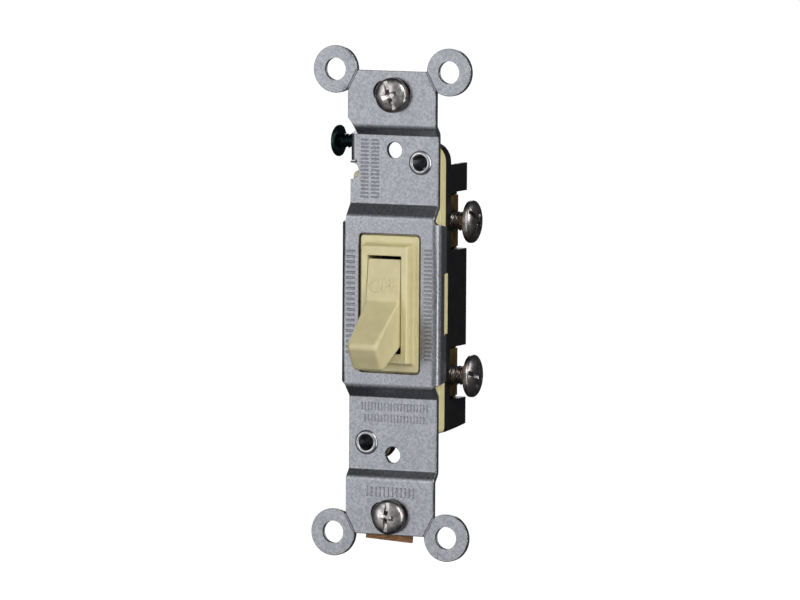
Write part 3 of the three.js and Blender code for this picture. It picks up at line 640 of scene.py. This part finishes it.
def cover_piece():
    """The ivory cover: the casing, the raised part behind the window, the platform and two ribs."""
    hollow = rounded([(HOLLOW_X, -HOLLOW_Z, 0.3), (HOLLOW_X, HOLLOW_Z, 0.3),
                      (-HOLLOW_X, HOLLOW_Z, 0.3), (-HOLLOW_X, -HOLLOW_Z, 0.3)])
    rivet_holes = [circle(side * RIVET_X, side * RIVET_Z, RIVET_HOLE) for side in (1, -1)]
    casing = plate(lobed_outline(*CASING), [hollow, *rivet_holes], COVER_BACK - COVER_FRONT, 0.2)
    for vert in casing.verts:
        a, b, c = vert.co
        vert.co = (a, (COVER_FRONT + COVER_BACK) / 2 + c, b)
    bmesh.ops.recalc_face_normals(casing, faces=casing.faces)
    raised = ring_of([
        (9.3, -17.9, 18.7, 0.5, 3.0), (9.3, -17.9, 18.7, 0.5, 1.6), (9.3, -16.0, 16.5, 0.5, -0.35),
        (9.15, -15.8, 16.3, 0.5, -0.45), (4.25, -10.95, 10.95, 0.3, -0.45), (4.25, -10.95, 10.95, 0.3, 3.0),
    ])
    # Half width, half height, corner radius and y, from the back of the platform out and down the slot.
    front = ring_of([(x, -z, z, radius, y) for x, z, radius, y in (
        (6.3, 13.44, 0.75, 0.6), (6.3, 13.44, 0.75, -1.35), (6.26, 13.4, 0.72, -1.53),
        (6.12, 13.27, 0.6, -1.65), (5.62, 12.45, 0.5, -1.66), (5.32, 12.05, 0.45, -1.76),
        (5.15, 11.84, 0.45, -1.98), (5.07, 11.73, 0.45, -2.35), (4.99, 11.64, 0.45, -4.15),
        (4.93, 11.58, 0.42, -4.35), (4.76, 11.41, 0.35, -4.5), (3.82, 9.87, 0.3, -4.5),
        (3.66, 9.71, 0.25, -4.43), (SLOT_X, SLOT_Z, 0.22, -4.25), (SLOT_X, SLOT_Z, 0.22, -3.6),
        (SLOT_X, HOLLOW_Z, 0.3, -3.58), (SLOT_X, HOLLOW_Z, 0.3, -0.2),
        (HOLLOW_X, HOLLOW_Z, 0.3, -0.18), (HOLLOW_X, HOLLOW_Z, 0.3, 0.6),
    )])
    ribs = []
    for side in (-1, 1):
        inner, outer = sorted((side * 9.0, side * 9.95))
        ribs.append(bevel_bm(block(inner, outer, 1.25, 4.3, -6.0, 6.0), 0.12))
    whole = merge(casing, raised, front, *ribs)
    return piece("cover_moulding", whole, "front_cover", "housing", "ivory_plastic", 34.0)


cover_piece()
refined("rear_body", "body_moulding", "housing", "black_phenolic", 0.16)

# A hollow rivet's section as (radius, y): bore, rolled front rim, tube and rolled back rim.
RIVET = [
    (1.5, 0.1), (1.56, -0.06), (1.68, -0.17), (1.84, -0.2), (2.05, -0.15), (2.3, 0.02), (2.41, 0.16),
    (2.45, 0.3), (1.85, 0.32), (1.85, 6.83), (2.4, 6.86), (2.38, 7.0), (2.2, 7.15), (1.9, 7.3),
    (1.7, 7.34), (1.55, 7.25), (1.5, 7.1),
]
for label, side in (("upper", 1), ("lower", -1)):
    eyelet = lathe(RIVET, 56, closed=True)
    bmesh.ops.translate(eyelet, verts=eyelet.verts, vec=(side * RIVET_X, 0, side * RIVET_Z))
    piece("eyelet_" + label, eyelet, "rivet_" + label, "housing", "plated_rivet")


# ------------------------------------------------------------------ the toggle
def lever(u, v):
    """A point in y and z, from the lever's own frame: u out from the pivot, v across it."""
    return (PIVOT_Y - u * math.cos(TILT) - v * math.sin(TILT), -u * math.sin(TILT) + v * math.cos(TILT))


TIP, TIP_HALF, TIP_CROWN = 18.36, 3.3, 0.13
ROOT, ROOT_HALF = 5.35, 4.3
WING_END = 10.3
LEVER_HALF = 3.5
ROOT_EDGE, EXTRA_EDGE = 0.14, 0.66  # how round the edges are at the root, and how much more at the tip


def lever_body():
    """The lever and its two wings, with edges that are rounder towards the tip."""
    half = [(TIP, TIP_HALF, 1.4), (ROOT, ROOT_HALF, 1.0), (-0.1, 10.7, 0.3),
            (-1.3, 9.7, 0.4), (2.9, 3.95, 0.8), (0.0, 3.5, 0.0)]
    outline = rounded([*half, *[(u, -v, r) for u, v, r in reversed(half)]], 7)
    crown = []
    for u, v in outline:
        bulge = TIP_CROWN * (1 - (v / TIP_HALF) ** 2) if u > TIP - 0.2 else 0.0
        crown.append(Vector((u + bulge, v)))
    points, faces, count, steps = [], [], len(crown), 6
    for layer in range(2 * steps):
        side = -1 if layer < steps else 1
        turn = math.pi / 2 * (steps - 1 - layer if side < 0 else layer - steps) / (steps - 1)
        for i, p in enumerate(crown):
            way = (crown[(i + 1) % count] - crown[i - 1]).normalized()
            outward = Vector((way.y, -way.x))
            edge = ROOT_EDGE + EXTRA_EDGE * max(0.0, min(1.0, (p.x - 5.0) / 2.5))
            half_x = LEVER_HALF - 0.03 * max(0.0, p.x - 9.0)
            inset = p - outward * edge * (1 - math.cos(turn))
            points.append((side * (half_x - edge * (1 - math.sin(turn))), *lever(inset.x, inset.y)))
    for layer in range(2 * steps - 1):
        low, high = layer * count, (layer + 1) * count
        for i in range(count):
            j = (i + 1) % count
            faces.append((low + i, low + j, high + j, high + i))
    faces += [tuple(range(count)), tuple(range((2 * steps - 1) * count, 2 * steps * count))]
    return bm_from(points, faces)


def toggle_piece():
    """The lever and wings with the hub, the pins, the spring's seat and peg, and the cam."""
    hub = lathe([(0, -3.3), (3.3, -3.3), (3.5, -3.1), (3.5, 3.1), (3.3, 3.3), (0, 3.3)], 40)
    pins = lathe([(0, -4.75), (1.35, -4.75), (1.5, -4.6), (1.5, 4.6), (1.35, 4.75), (0, 4.75)], 32)
    for part in (hub, pins):
        bmesh.ops.rotate(part, verts=part.verts, cent=(0, 0, 0), matrix=Matrix.Rotation(math.pi / 2, 3, "Z"))
        bmesh.ops.translate(part, verts=part.verts, vec=(0, PIVOT_Y, 0))
    seat_shape = [lever(u, v) for u, v in ((-3.6, 2.1), (0, 2.6), (0, -2.6), (-3.6, -2.1))]
    peg_shape = [lever(u, v) for u, v in ((-4.6, 0.8), (0, 0.8), (0, -0.8), (-4.6, -0.8))]
    cam_shape = [(PIVOT_Y, -1.6), (9.75, -0.9), (10.45, -0.35), (10.45, 0.35), (9.75, 0.9), (PIVOT_Y, 1.6)]
    seat = bevel_bm(prism_x(seat_shape, -2.1, 2.1), 0.2)
    peg = bevel_bm(prism_x(peg_shape, -0.8, 0.8), 0.15)
    cam = bevel_bm(prism_x(cam_shape, 2.4, 3.35), 0.12)
    whole = merge(lever_body(), hub, pins, seat, peg, cam)
    return piece("toggle_moulding", whole, "toggle_lever", "toggle", "ivory_toggle", 34.0)


toggle_piece()


def wing_word(text, side):
    """A low raised word on a wing of the toggle: the usual words for the two positions."""
    root, end = Vector(lever(ROOT, side * ROOT_HALF)), Vector(lever(-0.1, side * WING_END))
    along = (end - root).normalized()
    middle = root + along * 3.0
    normal = Vector((-along.y, along.x))
    if normal.x > 0:
        normal = -normal
    curve = bpy.data.curves.new(text, "FONT")
    curve.body = text
    curve.align_x, curve.align_y = "CENTER", "CENTER"
    curve.size = 4.0
    curve.space_character = 1.02
    curve.extrude = 0.19
    curve.offset = 0.02
    curve.bevel_depth = 0.05
    curve.bevel_resolution = 1
    curve.resolution_u = 3
    holder = bpy.data.objects.new(text, curve)
    bpy.context.scene.collection.objects.link(holder)
    bm = bmesh.new()
    shape = bpy.data.meshes.new_from_object(holder.evaluated_get(bpy.context.evaluated_depsgraph_get()))
    bm.from_mesh(shape)
    bpy.data.objects.remove(holder)
    bpy.data.meshes.remove(shape)
    for vert in bm.verts:
        a, b, c = vert.co
        p = middle + along * b * side + normal * (c + 0.01)
        vert.co = (a * 0.82, p.x, p.y)
    bmesh.ops.remove_doubles(bm, verts=bm.verts, dist=WELD)
    bmesh.ops.recalc_face_normals(bm, faces=bm.faces)
    return piece("word_" + text.lower(), bm, None, "toggle", "ivory_toggle", 30.0)


wing_word("OFF", 1)
wing_word("ON", -1)


# ------------------------------------------------------------------ spring, terminals and contacts
def tube(points, radius, sides):
    """A round wire along points."""
    rings, verts, faces = [], [], []
    for i, p in enumerate(points):
        way = (points[min(i + 1, len(points) - 1)] - points[max(i - 1, 0)]).normalized()
        across = way.cross(Vector((0.3, 1, 0.2))).normalized()
        up = way.cross(across)
        rings.append(range(len(verts), len(verts) + sides))
        for k in range(sides):
            turn = math.tau * k / sides
            verts.append(p + (across * math.cos(turn) + up * math.sin(turn)) * radius)
    for low, high in zip(rings, rings[1:]):
        for k in range(sides):
            n = (k + 1) % sides
            faces.append((low[k], low[n], high[n], high[k]))
    faces += [tuple(rings[0]), tuple(rings[-1])]
    return bm_from(verts, faces)


COIL_RADIUS, WIRE, COIL_TURNS, COIL_STEPS = 1.72, 0.24, 7, 168


def spring_piece():
    """The coil, on an axis that bows from the body's floor to the toggle's seat."""
    seat, lead = Vector(lever(-3.96, 0)), Vector(lever(-6.8, 0))
    base, rise = Vector((15.1, 0)), Vector((11.9, 0))
    points = []
    for i in range(COIL_STEPS + 1):
        t = i / COIL_STEPS
        k = 1 - t
        axis = base * k**3 + rise * 3 * k * k * t + lead * 3 * k * t * t + seat * t**3
        way = (rise - base) * k * k + (lead - rise) * 2 * k * t + (seat - lead) * t * t
        way.normalize()
        angle = t * COIL_TURNS * math.tau
        swing = math.sin(angle) * COIL_RADIUS
        points.append(Vector((math.cos(angle) * COIL_RADIUS, axis.x - way.y * swing, axis.y + way.x * swing)))
    obj = piece("over_centre_spring", tube(points, WIRE, 10), "toggle_spring", None, "spring_steel", 60.0)
    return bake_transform(obj)


spring_piece()
for node, look, width, body in (
    ("terminal_plate_upper", "brass", 0.12, "housing"),
    ("terminal_plate_lower", "brass", 0.12, "housing"),
    ("contact_arm", "contact_bronze", 0.08, "contact_arm"),
    ("contact_arm_rivet", "brass", 0.06, "housing"),
    ("contact_button_moving", "contact_silver", 0.06, "contact_arm"),
    ("contact_button_fixed", "contact_silver", 0.06, "housing"),
    ("screw_retainer_upper", "vulcanised_fibre", 0.08, "housing"),
    ("screw_retainer_lower", "vulcanised_fibre", 0.08, "housing"),
):
    refined(node, node + "_detail", body, look, width)


# ------------------------------------------------------------------ screws
THREAD_PITCH, THREAD_TAPER = 0.794, 0.7


def thread(radius, depth, y0, y1):
    """A real screw thread along Y, thinner over the last of its length."""
    around, per_turn = 36, 9
    rows = max(8, int((y1 - y0) / THREAD_PITCH * per_turn))
    points, faces = [], []
    for row in range(rows + 1):
        y = y0 + (y1 - y0) * row / rows
        shrink = max(0.0, (y - (y1 - THREAD_TAPER)) / THREAD_TAPER) * 0.5
        for i in range(around):
            turn = (y / THREAD_PITCH - i / around) % 1.0
            r = radius - depth * min(1.0, abs(2 * turn - 1) * 1.25) - shrink
            angle = math.tau * i / around
            points.append((r * math.cos(angle), y, r * math.sin(angle)))
    for row in range(rows):
        low, high = row * around, (row + 1) * around
        for i in range(around):
            j = (i + 1) % around
            faces.append((low + i, low + j, high + j, high + i))
    faces += [tuple(range(around)), tuple(range(rows * around, (rows + 1) * around))]
    return bm_from(points, faces)


def screw_piece(name, look, head, rim, height, shank, length, depth, place, turn):
    """A screw with a domed head towards -Y, its underside just in front of y 0, and a cross in a slot."""
    rise = height - rim
    angles = [math.pi / 2 * i / 12 for i in range(13)]
    dome = [(head * math.sin(a), -rim - rise * math.cos(a)) for a in angles]
    under = -0.05  # clear of the sheet under it at full travel
    underside = [(head, -0.28), (head - 0.08, -0.12), (head - 0.3, under), (shank * 0.8, under), (0, under)]
    body = lathe([*dome, *underside], 64)
    slot = block(-head - 1, head + 1, -height - 1, -height + 0.62, -0.4, 0.4)
    cross = []
    reach = head * 0.5
    ends = ((-height - 0.3, 1.25, 0.5), (-height + 1.3, 0.35, 0.3))  # y, share of the reach, half width
    corners = [(sx * reach * k, y, sz * w) for y, k, w in ends for sx in (-1, 1) for sz in (-1, 1)]
    sides = [(0, 1, 3, 2), (4, 5, 7, 6), (0, 1, 5, 4), (2, 3, 7, 6), (0, 2, 6, 4), (1, 3, 7, 5)]
    for spin in (0, math.pi / 2):
        arm = bm_from(corners, sides)
        bmesh.ops.rotate(arm, verts=arm.verts, cent=(0, 0, 0), matrix=Matrix.Rotation(spin, 3, "Y"))
        cross.append(arm)
    body = boolean(body, [slot, *cross])
    bevel_bm(body, 0.07, 35.0)
    whole = merge(body, thread(shank - 0.01, depth, -0.1, length))
    bmesh.ops.rotate(whole, verts=whole.verts, cent=(0, 0, 0), matrix=turn)
    bmesh.ops.translate(whole, verts=whole.verts, vec=place)
    return piece(name + "_detail", whole, name, name, look, 32.0)


TERMINAL_SIZE = (4.25, 0.7, 1.9, 1.95, 5.0, 0.32)  # head, rim, height, shank, length, thread depth
MOUNTING_SIZE = (3.45, 1.1, 2.5, 1.55, 19.0, 0.28)
GROUND_SIZE = (3.15, 0.5, 1.6, 1.45, 7.0, 0.26)
for label, x, z, angle in (("upper", 11.6, 15.8, 38), ("lower", 11.95, -14.8, 12)):
    spin = Matrix.Rotation(math.radians(90), 3, "Z") @ Matrix.Rotation(math.radians(angle), 3, "Y")
    screw_piece("terminal_screw_" + label, "nickel_steel", *TERMINAL_SIZE, (x, 10.9, z), spin)
for label, x, z, angle in (("upper", 0.45, 41.15, 70), ("lower", 0.3, -42.2, 95)):
    spin = Matrix.Rotation(math.radians(angle), 3, "Y")
    screw_piece("mounting_screw_" + label, "nickel_steel", *MOUNTING_SIZE, (x, -1.3, z), spin)
spin = Matrix.Rotation(math.radians(-90), 3, "Z")
screw_piece("ground_screw", "green_steel", *GROUND_SIZE, (-13.4, 4.6, GROUND_Z), spin)


# ------------------------------------------------------------------ floor, light and camera
def stage_material(name, colour, glow):
    """A matt pale material that glows a little, for what stands round the switch."""
    g = Graph(name)
    g.shader.inputs["Emission Color"].default_value = (1, 1, 1, 1)
    return g.finish(colour, 1.0, Specular_IOR_Level=0.0, Emission_Strength=glow)


def stage_object(name, bm, mat):
    """A surrounding that the camera sees and the switch doesn't."""
    mesh = bpy.data.meshes.new(name)
    bm.to_mesh(mesh)
    bm.free()
    mesh.shade_smooth()
    mesh.materials.append(mat)
    obj = bpy.data.objects.new(name, mesh)
    bpy.context.scene.collection.objects.link(obj)
    obj.visible_diffuse = obj.visible_glossy = obj.visible_transmission = obj.visible_shadow = False


sphere = bmesh.new()
bmesh.ops.create_uvsphere(sphere, u_segments=48, v_segments=24, radius=2.6)
stage_object("backdrop", sphere, stage_material("backdrop_white", rgb(0, 0, 0), 1.05))
disc = bmesh.new()
bmesh.ops.create_circle(disc, cap_ends=True, segments=64, radius=1.1)
bmesh.ops.translate(disc, verts=disc.verts, vec=(0, 0, -0.3))
stage_object("floor", disc, stage_material("floor_pale", rgb(0.93, 0.93, 0.93), 0.7))

# The world is bright in front of the switch and dark beside and behind it.
world = bpy.data.worlds.new("studio")
bpy.context.scene.world = world
world.use_nodes = True
tree = world.node_tree
background = tree.nodes["Background"]
coordinate = tree.nodes.new("ShaderNodeTexCoord")
dot = tree.nodes.new("ShaderNodeVectorMath")
dot.operation = "DOT_PRODUCT"
dot.inputs[1].default_value = Vector((-0.18, -0.97, 0.1)).normalized()
ramp = tree.nodes.new("ShaderNodeValToRGB")
ramp.color_ramp.interpolation = "EASE"
ramp.color_ramp.elements[0].position = 0.0
ramp.color_ramp.elements[0].color = (0.035, 0.037, 0.042, 1)
ramp.color_ramp.elements[1].position = 0.88
ramp.color_ramp.elements[1].color = (0.78, 0.79, 0.82, 1)
middle_stop = ramp.color_ramp.elements.new(0.45)
middle_stop.color = (0.11, 0.114, 0.125, 1)
tree.links.new(coordinate.outputs["Generated"], dot.inputs[0])
tree.links.new(dot.outputs["Value"], ramp.inputs[0])
tree.links.new(ramp.outputs[0], background.inputs["Color"])
background.inputs["Strength"].default_value = 0.85


def softbox(name, place, size, power):
    """A rectangular lamp in metres and watts that points at the switch."""
    lamp = bpy.data.lights.new(name, "AREA")
    lamp.shape = "RECTANGLE"
    lamp.size, lamp.size_y = size
    lamp.energy = power
    obj = bpy.data.objects.new(name, lamp)
    bpy.context.scene.collection.objects.link(obj)
    obj.location = place
    obj.rotation_euler = (-Vector(place)).to_track_quat("-Z", "Y").to_euler()


softbox("key", (0.75, -0.65, 0.75), (0.5, 0.5), 5.0)
softbox("right_strip", (1.0, -0.44, 0.05), (0.14, 1.2), 5.5)
softbox("right_rear", (1.2, 0.35, 0.3), (0.4, 0.4), 5.0)
softbox("front_fill", (-0.9, -1.25, 0.25), (1.0, 1.2), 7.0)
softbox("back", (-0.75, 1.15, 0.45), (1.1, 1.1), 8.0)

# The camera stands in front of the switch, to its right and a little above it.
DISTANCE = 1.6
yaw, lift, roll = math.radians(23.7), math.radians(5.1), math.radians(0.35)
right = Vector((math.cos(yaw), math.sin(yaw), 0))
ahead = Vector((-math.sin(yaw) * math.cos(lift), math.cos(yaw) * math.cos(lift), -math.sin(lift)))
above = right.cross(ahead)
across = right * math.cos(roll) + above * math.sin(roll)
upward = above * math.cos(roll) - right * math.sin(roll)
lens = bpy.data.cameras.new("camera")
lens.sensor_width = 36
lens.lens = 365.6
lens.shift_x, lens.shift_y = 0.012, 0.0044
lens.clip_start, lens.clip_end = 0.05, 20
camera = bpy.data.objects.new("camera", lens)
bpy.context.scene.collection.objects.link(camera)
spot = Vector((0, -0.0012, 0)) - ahead * DISTANCE
camera.matrix_world = Matrix((
    (across.x, upward.x, -ahead.x, spot.x),
    (across.y, upward.y, -ahead.y, spot.y),
    (across.z, upward.z, -ahead.z, spot.z),
    (0, 0, 0, 1),
))
bpy.context.scene.camera = camera
bpy.context.scene.view_settings.view_transform = "Standard"
